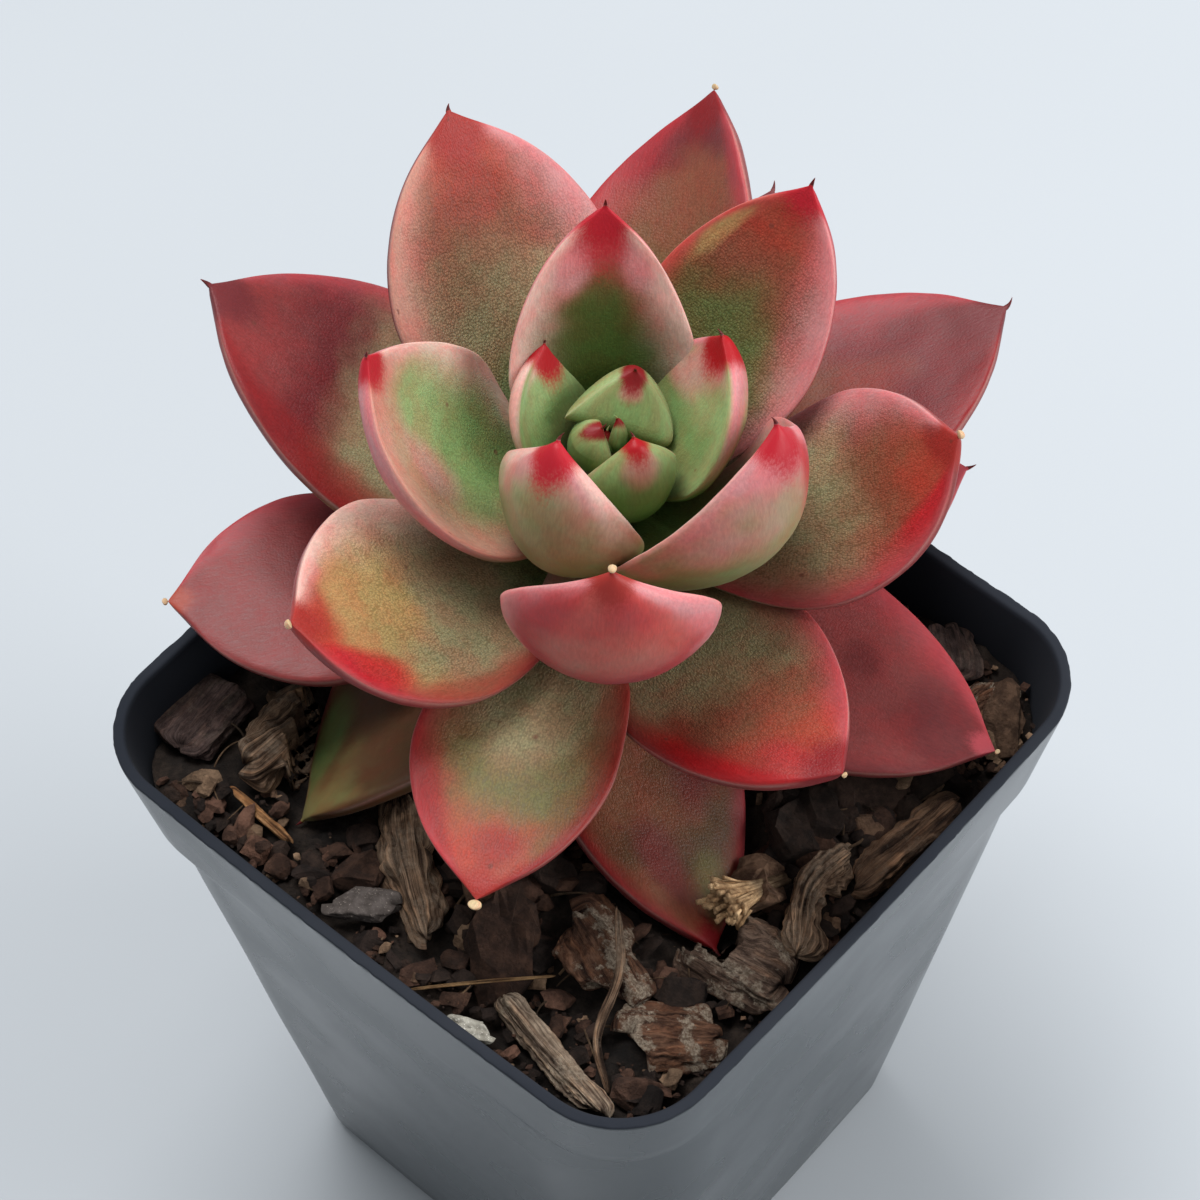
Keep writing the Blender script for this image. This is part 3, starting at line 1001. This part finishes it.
LOOSE = {
    "twig_curled": loose(
        "fibrous", [[15.5, -14.5, 2.9], [20, -19.5, 3.1], [22.3, -25.2, 1.9], [26, -28, -0.1]],
        0.5, 0.45, 0.2, 0.05, 0.6),
    "fibre_thin": loose("tan", [[5.5, -31.8, -0.1], [10, -28, 1.7], [15.5, -23.2, 2.6]],
                        0.2, 0.18, 0.1, 0.03, 0.7),
    "stick_pale": loose("pale", [[12.4, -26.9, 0.7], [20, -28.6, 0.8], [27.3, -30.2, 0.5]],
                        1.5, 1.1, 0.3, 0.22, 0.75),
    "root_bark_front": loose("fibrous", [[27, 5, 1], [27, -1, 1.6], [30.5, -7, 2.2]],
                             1.7, 1.3, 0.9, 0.4, 0.8),
    "bark_slab_left": loose("dark", [[-29, -27, 0.6], [-30, -18.6, 0.9]], 4, 1, 0.3, 0.04, 0.95),
    "bark_fibrous_left": loose("fibrous", [[-23, -24, 1], [-22.5, -15, 1.5]], 4, 2, 0.8, 0.4, 0.85),
    "bark_fibrous_front": loose("fibrous", [[-9, -17.5, 1.5], [-4, -22, 1.2], [3, -27, 0.6]],
                                3, 1.8, 0.8, 0.4, 0.8),
    "bark_chip_middle": loose("brown", [[12.5, -17, 1], [20.7, -20.2, 1.2]], 4, 1.5, 0.5, 0.06, 0.85),
    "bark_chip_front": loose("brown", [[24, -22.5, 0.8], [30, -17.5, 0.9]], 3.2, 1.2, 0.4, 0.06, 0.85),
    "bark_lump_crusted": loose("crusted", [[23, -11.5, 1.2], [31, -9.5, 0.9]], 4.6, 1.8, 0.5, 0.12, 0.8),
    "pebble_grey": loose("grey", [[-5.5, -29.6, 0.8], [-1, -26.6, 0.9]], 2, 1.3, 0.15, 0.03),
    "pebble_white": loose("white", [[11, -32, 0.6], [14, -30.6, 0.6]], 1.2, 0.9, 0.15, 0.04),
    "splinter_orange": loose("orange", [[-21.9, -27, 0.5], [-14.2, -27.3, 0.5]],
                             0.6, 0.45, 0.3, 0.08, 0.6),
    "bark_chip_right": loose("dark", [[18, 31.5, 1], [22, 28, 0.9]], 2.6, 1.2, 0.3, 0.15),
    "bark_chip_corner": loose("brown", [[26.5, 29.5, 0.8], [25, 24.5, 0.8]], 1.8, 1, 0.3, 0.15),
    "bark_strip_right": loose("strip", [[31, 16.5, 0.9], [30.6, 9, 1.1], [30, 2.5, 0.8]],
                              1.8, 1.3, 0.4, 0.35),
}

# Barks and woods: finish, dark and light colour, scale along the fibres, share of crust, fineness
BARKS = {
    "dark": ("dark_bark", "352a28", "6a5752", 0.6, 0.1, 0.8),
    "brown": ("brown_bark", "4a3024", "8a6650", 0.9, 0.9, 0.8),
    "fibrous": ("weathered_bark", "3a2a20", "b8987c", 0.16, 0.25),
    "strip": ("fibrous_bark", "3a2a20", "8f7058", 0.12, 0.1),
    "crusted": ("crusted_bark", "46362e", "967c6a", 0.8, 0.8),
    "pale": ("pale_wood", "5c463a", "d8c2a8", 0.14, 0.6),
    "tan": ("tan_fibre", "7a5c3e", "c09a6c", 0.15),
    "orange": ("orange_wood", "8a5a34", "d0a070", 0.1),
}
STONES = {"grey": ("grey_pebble", "5c5450", "8a8078"), "white": ("pale_pebble", "b5b2a6", "d8d4c8")}

# Grades of crumbs: first seed, least size, spread of sizes, points around and rings
GRADES = {
    "chips": (1, 1.2, 3.0, 12, 7),
    "crumbs": (3001, 0.5, 1.1, 8, 4),
    "grit": (9001, 0.16, 0.42, 6, 3),
}
CRUMB_COLOURS = ("33261f", "4c3529", "2a1f1a", "65483a", "3f2f27", "543c30", "7a5e4a", "8f745c")
FACETS = 5
FACET_SHARPNESS = 14


def smooth_run(points, t):
    """A rounded curve that passes through two to four points, and its direction at each t."""
    points = np.asarray(points, float)
    n = len(points) - 1
    ends = np.concatenate([[2 * points[0] - points[1]], points, [2 * points[-1] - points[-2]]])
    i = np.minimum((t * n).astype(int), n - 1)
    f = (t * n - i)[:, None]
    a, b, c, d = (ends[i + j] for j in range(4))
    first, second, third = c - a, 2 * a - 5 * b + 4 * c - d, 3 * b - a - 3 * c + d
    at = 0.5 * (2 * b + first * f + second * f ** 2 + third * f ** 3)
    way = 0.5 * (first + 2 * second * f + 3 * third * f ** 2)
    return at, way / np.linalg.norm(way, axis=1, keepdims=True)


def rough_rings(run, wide, high, rough, ridge, tip, seed, rows=96, columns=72):
    """A broken piece along its run. Its section is the room inside a few flat sides, each side
    drawn for itself and shifting along the run; its ends break off blunt and uneven; grooves run
    lengthwise, and small pits lie between them."""
    run = [[x, y, mix_top(x, y) + lift] for x, y, lift in run]
    t = 0.5 - 0.5 * np.cos(np.pi * np.linspace(0.01, 0.99, rows))
    at, way = smooth_run(run, t)
    across = np.cross([0, 0, 1.0], way)
    across /= np.linalg.norm(across, axis=1, keepdims=True)
    deep = np.cross(way, across)
    along = t * np.linalg.norm(np.diff(run, axis=0), axis=1).sum()
    angle = 2 * np.pi * np.arange(columns) / columns
    c, s = np.cos(angle), np.sin(angle)
    inward = 0.0
    for side in range(FACETS):
        facing = 2 * np.pi * (side + 0.7 * draw(seed + side)) / FACETS
        shift = rumple(np.stack([along, 0 * t, 0 * t], axis=-1), 2.5 * wide, seed + side)
        away = 0.8 + 0.6 * rough * (draw(seed + 9 + side) - 0.5) + 0.4 * rough * shift
        reached = np.maximum(0, np.cos(angle[None, :] - facing)) / away[:, None]
        inward = inward + reached ** FACET_SHARPNESS
    section = inward ** (-1 / FACET_SHARPNESS)
    x = np.abs(2 * t - 1)
    share = (tip + (1 - tip) * np.sqrt(1 - x ** 3)) * (1 - x ** 24) ** 0.4
    flat = np.zeros((rows, columns))
    skin = np.stack([along[:, None] + flat, wide * c * 2 + flat, high * s * 2 + flat], axis=-1)
    lumps = rumple(skin, 0.6 * wide + 0.4, seed + 1) + 0.6 * rumple(skin, 0.25 * wide + 0.2, seed + 5)
    size = share[:, None] * section * (1 + 0.35 * rough * lumps)
    groove = 0.5 - np.abs(rumple(skin * [0.13, 1.3, 1.3], 1.0, seed + 2)) * 1.6
    groove = groove + 0.5 * rumple(skin * [0.35, 2.6, 2.6], 1.0, seed + 4)
    pit = (wide > 0.8) * (0.12 * rumple(skin, 0.7, seed + 6) + 0.07 * rumple(skin, 0.3, seed + 7))
    grow = (ridge * groove + pit) * share[:, None]
    slant = 1.5 * (draw(seed + np.array([51, 52])) - 0.5)
    slant = np.where(t < 0.5, *slant)[:, None] * c
    broken = 0.3 * rumple(skin * [0, 1, 1], 0.6 * wide + 0.3, seed + 8) + slant
    broken = min(wide, 3) * broken * smooth(x, 0.4, 1)[:, None]
    rings = (at[:, None] + across[:, None] * ((wide * size + grow) * c)[..., None]
             + deep[:, None] * ((high * size + grow) * s)[..., None] + way[:, None] * broken[..., None])
    tone = np.clip(0.5 + 0.55 * groove + 1.2 * pit, 0, 1)
    return rings, skin, tone


class SUCCULENT_OT_bark(bpy.types.Operator):
    """Lays the loose bark, stick, twigs and pebbles into their seats on the mix"""
    bl_idname = "succulent.bark"
    bl_label = "Loose pieces"

    def execute(self, context):
        finishes = {look: bark_finish(*row) for look, row in BARKS.items()}
        finishes.update({look: stone_finish(*row) for look, row in STONES.items()})
        cover = leaf_cover()
        for n, (name, piece) in enumerate(LOOSE.items()):
            shape = {key: value for key, value in piece.items() if key != "look"}
            rings, skin, tone = rough_rings(seed=20 + 7 * n, **shape)
            room = under_leaves(cover, rings[..., 0], rings[..., 1]) - 0.1
            rings[..., 2] = np.minimum(rings[..., 2], room)
            points, quads, ends = closed_tube(rings)
            skin = skin.reshape(-1, 3)
            marks = {"at_skin": np.concatenate([skin, skin[:1], skin[-1:]]),
                     "tone": np.concatenate([tone.ravel(), [0.5, 0.5]])}
            finish = finishes[piece["look"]]
            new_piece(f"{name}_rough", points, quads, ends, finish, [name], marks)
        return {"FINISHED"}


def crumb_shapes(seeds, columns, rows):
    """Broken crumbs about the origin, one per seed: a small sphere grid whose points are pulled in
    or out by their own draws and then pressed flat against six planes at drawn distances."""
    angle = 2 * np.pi * np.arange(columns) / columns
    rise = np.linspace(-0.44, 0.44, rows) * np.pi
    ball = np.stack([np.cos(rise)[:, None] * np.cos(angle), np.cos(rise)[:, None] * np.sin(angle),
                     np.sin(rise)[:, None] + 0 * angle], axis=-1)
    index = np.arange(rows * columns).reshape(rows, columns)
    pull = 0.85 + 0.4 * draw(seeds[:, None, None] * 31.7 + index[None] * 1.37)
    high = 0.55 + 0.35 * draw(seeds[:, None] * 2.3 + np.arange(3) * 17.0)
    low = 0.55 + 0.35 * draw(seeds[:, None] * 3.7 + np.arange(3) * 29.0)
    shapes = np.clip(ball[None] * pull[..., None], -low[:, None, None], high[:, None, None])
    shapes = turned(shapes, 0.9 * draw(seeds + 51), 0.9 * draw(seeds + 52), 0.9 * draw(seeds + 53))
    return np.clip(shapes, -low[:, None, None, ::-1] - 0.06, high[:, None, None, ::-1] + 0.06)


def turned(points, tilt, lean, spin):
    """Turns each body's points: by tilt about X, lean about Y, then spin about Z."""
    for angle, (a, b) in ((tilt, (1, 2)), (lean, (2, 0)), (spin, (0, 1))):
        c, s = (f(angle).reshape((-1,) + (1,) * (points.ndim - 2)) for f in (np.cos, np.sin))
        first, second = points[..., a].copy(), points[..., b].copy()
        points[..., a] = c * first - s * second
        points[..., b] = s * first + c * second
    return points


def leaf_cover():
    """Lowest leaf underside over each square millimetre of the pot, spread to its neighbours."""
    foot, axes = rosette_frame()
    cover = np.full((COVER_CELLS, COVER_CELLS), 1000.0)
    for k in range(LEAF_COUNT):
        rings, _ = leaf_surface(leaf_rule(k), 90, 48, 0.5, k)
        points = (foot + rings.reshape(-1, 3) @ axes)
        cell = np.clip(np.floor(points[:, :2] + COVER_CELLS / 2).astype(int), 0, COVER_CELLS - 1)
        np.minimum.at(cover, (cell[:, 0], cell[:, 1]), points[:, 2])
    for axis in (0, 1):
        padded = np.pad(np.moveaxis(cover, axis, 0), ((1, 1), (0, 0)), mode="edge")
        cover = np.moveaxis(np.minimum.reduce([padded[:-2], padded[1:-1], padded[2:]]), 0, axis)
    return cover


def under_leaves(cover, x, y):
    """Height of the lowest leaf over x, y, read from the cover."""
    i, j = (np.clip(np.floor(v + COVER_CELLS / 2).astype(int), 0, COVER_CELLS - 1) for v in (x, y))
    return cover[i, j]


def clear_of_pieces(x, y, reach):
    """True where a crumb at x, y with this reach lies beside every loose piece and the stem."""
    free = np.ones(len(x), bool)
    for piece in LOOSE.values():
        line, _ = smooth_run(piece["run"], np.linspace(0, 1, 24))
        near = np.min(np.hypot(x[:, None] - line[None, :, 0], y[:, None] - line[None, :, 1]), axis=1)
        free &= near > 0.8 * piece["wide"] + 0.5 * reach
    foot, _ = rosette_frame()
    return free & (np.hypot(x - foot[0], y - foot[1]) > 5 + reach)


def strewn(seeds, reach, cover, depth):
    """Places crumbs of these reaches on the filling: inside the pot's rounded square, beside the
    loose pieces and under no leaf that they would pass through. Returns what to keep and where."""
    limit = wall_half(MIX_LEVEL) - WALL - 0.6 - reach
    x = (2 * draw(seeds * 5 + 2) - 1) * limit
    y = (2 * draw(seeds * 7 + 3) - 1) * limit
    inset = wall_half(MIX_LEVEL) - RIM_CORNER
    past_corner = np.hypot(np.maximum(0, np.abs(x) - inset), np.maximum(0, np.abs(y) - inset))
    z = mix_top(x, y) - 0.5 + depth * reach + 0.5 * draw(seeds + 34)
    keep = clear_of_pieces(x, y, reach) & (past_corner < RIM_CORNER - WALL - reach)
    return keep & (z + 0.7 * reach < under_leaves(cover, x, y)), np.stack([x, y, z], axis=-1)


class SUCCULENT_OT_mix(bpy.types.Operator):
    """Fills the pot: a lumpy bed of damp bark, chips and crumbs strewn over it and fine fibres"""
    bl_idname = "succulent.mix"
    bl_label = "Potting mix"

    def execute(self, context):
        settings = context.scene.mix_settings
        skin = mix_finish("damp_mix")
        cover = leaf_cover()
        bed, quads, ends, tint = self.bed(tuple(settings.damp), cover)
        new_piece("potting_mix_bed", bed, quads, ends, skin, ["potting_mix"], {"tint": tint})
        for label, grade in GRADES.items():
            points, quads, ends, tint = self.crumbs(getattr(settings, label), *grade, cover)
            new_piece(f"potting_mix_{label}", points, quads, ends, skin,
                      marks={"tint": tint}, rounded=False)
        points, quads, ends, tint = self.fibres(settings.fibres, cover)
        new_piece("potting_mix_fibres", points, quads, ends, skin, marks={"tint": tint})
        return {"FINISHED"}

    def bed(self, damp, cover):
        """The bed: the pot's inside as rings, and a top whose height is the filling's waves and
        three sizes of lumps, pressed down under the leaves, drawn inward in shrinking squares."""
        inset = WALL + GAP
        inner = RIM_CORNER - WALL
        keys = [(FLOOR + GAP, 1.0, 0.9), (FLOOR + GAP, wall_half(FLOOR) - inset, BASE_CORNER - WALL),
                wall_key(COLLAR_FOOT, inset, BODY_CORNER - WALL),
                wall_key(COLLAR_FOOT + WALL, inset, inner), wall_key(MIX_LEVEL - 1.5, inset, inner)]
        rows = fill_rows(keys, [2, 4, 1, 2])
        sides = square_ring(rows[:, 1], rows[:, 2], rows[:, 0], 60, 20)
        edge = square_ring(wall_half(MIX_LEVEL) - inset, inner, MIX_LEVEL, 60, 20)
        top = edge * np.linspace(1, 0.01, 110)[:, None, None]
        flat = np.concatenate([top[..., :2], 0 * top[..., :1]], axis=-1)
        relief = 0.8 * rumple(flat, 5, 41) + 0.7 * rumple(flat, 2.2, 42) + 0.35 * rumple(flat, 1, 43)
        level = mix_top(top[..., 0], top[..., 1]) - 0.9 + relief
        top[..., 2] = np.minimum(level, under_leaves(cover, top[..., 0], top[..., 1]) - GAP)
        points, quads, ends = closed_tube(np.concatenate([sides, top]))
        dark = np.asarray(damp) * np.clip(1 + 0.9 * tangle(points, 6, 47), 0.3, 2.2)[:, None]
        return points, quads, ends, dark

    def crumbs(self, count, first, least, more, columns, rows, cover):
        """Broken bark by a seeded rule: size, place and turn of each from its own draws, more of
        the small ones, in the browns and greys of weathered bark."""
        n = first + np.arange(count)
        reach = least + more * draw(n * 3 + 11) ** 2.2
        keep, place = strewn(n, reach, cover, 0.3)
        n, reach, place = n[keep], reach[keep], place[keep]
        shapes = crumb_shapes(n, columns, rows)
        stretch = [1.0 + 0.9 * draw(n + 21), 0.7 + 0.5 * draw(n + 22), 0.35 + 0.35 * draw(n + 23)]
        shapes = shapes * (reach[:, None] * np.stack(stretch, axis=-1))[:, None, None, :]
        tilt, lean = (1.1 * (draw(n + seed) - 0.5) for seed in (31, 32))
        shapes = turned(shapes, tilt, lean, 2 * np.pi * draw(n + 33)) + place[:, None, None, :]
        shapes = shapes + 0.12 * reach[:, None, None, None] * rumple(shapes, 0.9, 5)[..., None]
        points, quads, ends = many_tubes(shapes)
        browns = np.stack([paint(code) for code in CRUMB_COLOURS])
        pick = browns[(draw(n + 41) ** 1.5 * len(browns)).astype(int)]
        pick = pick * (0.7 + 0.7 * draw(n + 43))[:, None]
        return points, quads, ends, np.repeat(pick, len(points) // len(n), axis=0)

    def fibres(self, count, cover):
        """Fine fibres: thin arcs that lie on the mix, each with its own bend."""
        n = 5000 + np.arange(count)
        limit = wall_half(MIX_LEVEL) - WALL - 5
        x = (2 * draw(n * 5 + 2) - 1) * limit
        y = (2 * draw(n * 7 + 3) - 1) * limit
        way = 2 * np.pi * draw(n + 3)
        length = 2 + 5 * draw(n + 4)
        bend = 1.6 * (draw(n + 5) - 0.5)
        t = np.linspace(0, 1, 9)[None, :]
        angle = way[:, None] + bend[:, None] * t
        px = x[:, None] + length[:, None] * t * np.cos(angle)
        py = y[:, None] + length[:, None] * t * np.sin(angle)
        inside = (np.abs(px).max(axis=1) < limit + 3) & (np.abs(py).max(axis=1) < limit + 3)
        px, py, angle, n = px[inside], py[inside], angle[inside], n[inside]
        pz = mix_top(px, py) + 0.3 + 0.9 * np.sin(np.pi * t) * draw(n + 6)[:, None]
        pz = np.minimum(pz, under_leaves(cover, px, py) - 0.4)
        turn = 2 * np.pi * np.arange(5) / 5
        thick = (0.07 + 0.12 * draw(n + 7))[:, None, None] * (1 - 0.5 * t[..., None])
        rings = np.stack([px[..., None] - np.sin(angle)[..., None] * np.cos(turn) * thick,
                          py[..., None] + np.cos(angle)[..., None] * np.cos(turn) * thick,
                          pz[..., None] + np.sin(turn) * thick], axis=-1)
        points, quads, ends = many_tubes(rings)
        shade = paint("6a543f") * (0.35 + 1.1 * draw(n + 8))[:, None]
        return points, quads, ends, np.repeat(shade, len(points) // len(n), axis=0)


class SUCCULENT_OT_stub(bpy.types.Operator):
    """Frays the dry flower stub that lies beside the front leaves"""
    bl_idname = "succulent.stub"
    bl_label = "Dry stub"

    def execute(self, context):
        foot = np.array([24.2, -0.8, 70.2])
        way = np.array([22.8, -7.2, 72.8]) - foot
        length = np.linalg.norm(way)
        along = way / length
        across = np.cross([0, 0, 1.0], along)
        across /= np.linalg.norm(across)
        lift = np.cross(along, across)
        strands, rows, columns = 90, 14, 6
        n = np.arange(strands)
        t = np.linspace(0, 1, rows)
        fan, tier = (2 * draw(n + seed)[:, None] - 1 for seed in (340, 360))
        spread = t ** 2.2
        side = 0.55 * fan * (1 + 3.4 * spread)
        rise = 0.45 * tier * (1 + 2.6 * spread) + 0.25 * np.sin(5 * t + n[:, None]) * spread
        reach = (length + 1.9 * draw(n + 380))[:, None] * t
        centre = foot + reach[..., None] * along + side[..., None] * across + rise[..., None] * lift
        turn = 2 * np.pi * np.arange(columns) / columns
        knob = 1 + 0.9 * smooth(t, 0.86, 0.97)
        thick = (0.13 + 0.1 * draw(n + 400))[:, None] * knob * (1 - 0.25 * t)
        rings = (centre[:, :, None] + across * (np.cos(turn) * thick[..., None])[..., None]
                 + lift * (np.sin(turn) * thick[..., None])[..., None])
        rings = rings + 0.06 * rumple(rings, 0.35, 9)[..., None]
        points, quads, ends = many_tubes(rings)
        strand = np.repeat(n, rows * columns + 2) * 0.7
        down = np.tile(np.concatenate([np.repeat(7 * t, columns), [0, 7]]), strands)
        pale = np.concatenate([np.repeat(smooth(t, 0.1, 0.7), columns), [0, 1]])
        marks = {"at_skin": np.stack([down, strand, 0 * down], axis=-1), "tone": np.tile(pale, strands)}
        finish = bark_finish("dry_fibres", "7a6044", "d6bd98", 0.3)
        new_piece("dry_stub_fibres", points, quads, ends, finish, ["dry_stub"], marks)
        return {"FINISHED"}


# The stage: lamps as place ahead, to the right and up in metres with their power in watts, the
# height they aim at, the floor's reach in metres, and the camera by its rise and roll in degrees
# and its place in millimetres from the middle of the rim
LAMPS = {"key": (-0.25, -0.15, 0.9, 8.6), "fill": (0.1, 0.7, 0.4, 5.4)}
LAMP_SIZE = 0.5
LAMP_AIM = 0.08
FLOOR_REACH = 3.0
CAMERA_RISE = 53.8
CAMERA_ROLL = -1.6
CAMERA_AWAY = 330
CAMERA_RIGHT = 0.9
CAMERA_UP = 9.35


class SUCCULENT_OT_stage(bpy.types.Operator):
    """Lays the plain floor, hangs the soft lights and sets the camera"""
    bl_idname = "succulent.stage"
    bl_label = "Stage"

    def execute(self, context):
        settings = context.scene.stage_settings
        f = Finish("plain_floor")
        tone = f.noise(f.place(), 0.004, 2, 0.5)
        floor_colour = tuple(settings.floor)
        shaded = tuple(0.96 * c for c in floor_colour)
        f.set(Base_Color=f.mix(f.span(tone, 0.3, 0.7), floor_colour, shaded), Roughness=0.9,
              Specular_IOR_Level=0.1)
        mesh = bpy.data.meshes.new("floor")
        signs = ((-1, -1), (1, -1), (1, 1), (-1, 1))
        mesh.from_pydata([(x * FLOOR_REACH, y * FLOOR_REACH, 0) for x, y in signs], [], [(0, 1, 2, 3)])
        mesh.materials.append(f.material)
        floor = bpy.data.objects.new("floor", mesh)
        context.scene.collection.objects.link(floor)
        world = bpy.data.worlds.new("soft_sky")
        world.use_nodes = True
        sky = world.node_tree.nodes["Background"]
        sky.inputs["Color"].default_value = (0.93, 0.97, 1, 1)
        sky.inputs["Strength"].default_value = settings.sky
        context.scene.world = world
        context.scene.view_settings.view_transform = "Standard"
        front, right = photo_axes()
        for name, (ahead, aside, up, power) in LAMPS.items():
            self.lamp(name, ahead * front + aside * right + [0, 0, up], power * settings.key)
        self.camera(context, front, right)
        return {"FINISHED"}

    def lamp(self, name, place, power):
        """A square soft lamp at a place in metres, aimed at the rosette."""
        light = bpy.data.lights.new(name, "AREA")
        light.size = LAMP_SIZE
        light.energy = power
        lamp = bpy.data.objects.new(name, light)
        bpy.context.scene.collection.objects.link(lamp)
        back = np.asarray(place) - [0, 0, LAMP_AIM]
        back /= np.linalg.norm(back)
        side = np.cross([0, 1, 0], back)
        side /= np.linalg.norm(side)
        axes = np.stack([side, np.cross(back, side), back], axis=1)
        matrix = Matrix(axes.tolist()).to_4x4()
        matrix.translation = place
        lamp.matrix_world = matrix

    def camera(self, context, front, right):
        """The photograph's view: from above the front corner, with a slight roll."""
        rise, roll = np.radians([CAMERA_RISE, CAMERA_ROLL])
        back = np.cos(rise) * front + np.array([0, 0, np.sin(rise)])
        up = np.cross(back, right)
        x_axis = right * np.cos(roll) + up * np.sin(roll)
        y_axis = up * np.cos(roll) - right * np.sin(roll)
        place = CAMERA_AWAY * back + CAMERA_RIGHT * right + CAMERA_UP * up + [0, 0, POT_HEIGHT]
        place = place * MM
        lens = bpy.data.cameras.new("photo_view")
        lens.sensor_width = 36
        lens.lens = 105
        lens.clip_start = 0.01
        camera = bpy.data.objects.new("photo_view", lens)
        context.scene.collection.objects.link(camera)
        matrix = Matrix(np.stack([x_axis, y_axis, back], axis=1).tolist()).to_4x4()
        matrix.translation = place
        camera.matrix_world = matrix
        context.scene.camera = camera


class SUCCULENT_PT_panel(bpy.types.Panel):
    bl_label = "Echeveria"
    bl_idname = "SUCCULENT_PT_panel"
    bl_space_type = "VIEW_3D"
    bl_region_type = "UI"
    bl_category = "Echeveria"

    def draw(self, context):
        scene = context.scene
        for settings, names, operators in (
            (scene.pot_settings, ("plastic", "lip_roughness"), ("pot",)),
            (scene.rosette_settings, ("rows", "columns", "spine", "flesh"), ("leaves", "heart")),
            (scene.mix_settings, ("chips", "crumbs", "grit", "fibres", "damp"), ("mix", "bark", "stub")),
            (scene.stage_settings, ("floor", "sky", "key"), ("stage",)),
        ):
            box = self.layout.box()
            for name in names:
                box.prop(settings, name)
            for name in operators:
                box.operator(f"succulent.{name}")


SETTINGS = {
    "pot_settings": PotSettings,
    "rosette_settings": RosetteSettings,
    "mix_settings": MixSettings,
    "stage_settings": StageSettings,
}
OPERATORS = [SUCCULENT_OT_stage, SUCCULENT_OT_pot, SUCCULENT_OT_mix, SUCCULENT_OT_bark,
             SUCCULENT_OT_stub, SUCCULENT_OT_heart, SUCCULENT_OT_leaves]


def register():
    for cls in (*SETTINGS.values(), *OPERATORS, SUCCULENT_PT_panel):
        bpy.utils.register_class(cls)
    for name, cls in SETTINGS.items():
        setattr(bpy.types.Scene, name, PointerProperty(type=cls))


def unregister():
    for name in SETTINGS:
        delattr(bpy.types.Scene, name)
    for cls in reversed((*SETTINGS.values(), *OPERATORS, SUCCULENT_PT_panel)):
        bpy.utils.unregister_class(cls)


def main():
    register()
    for operator in OPERATORS:
        getattr(bpy.ops.succulent, operator.bl_idname.split(".")[1])()


if __name__ == "__main__":
    main()
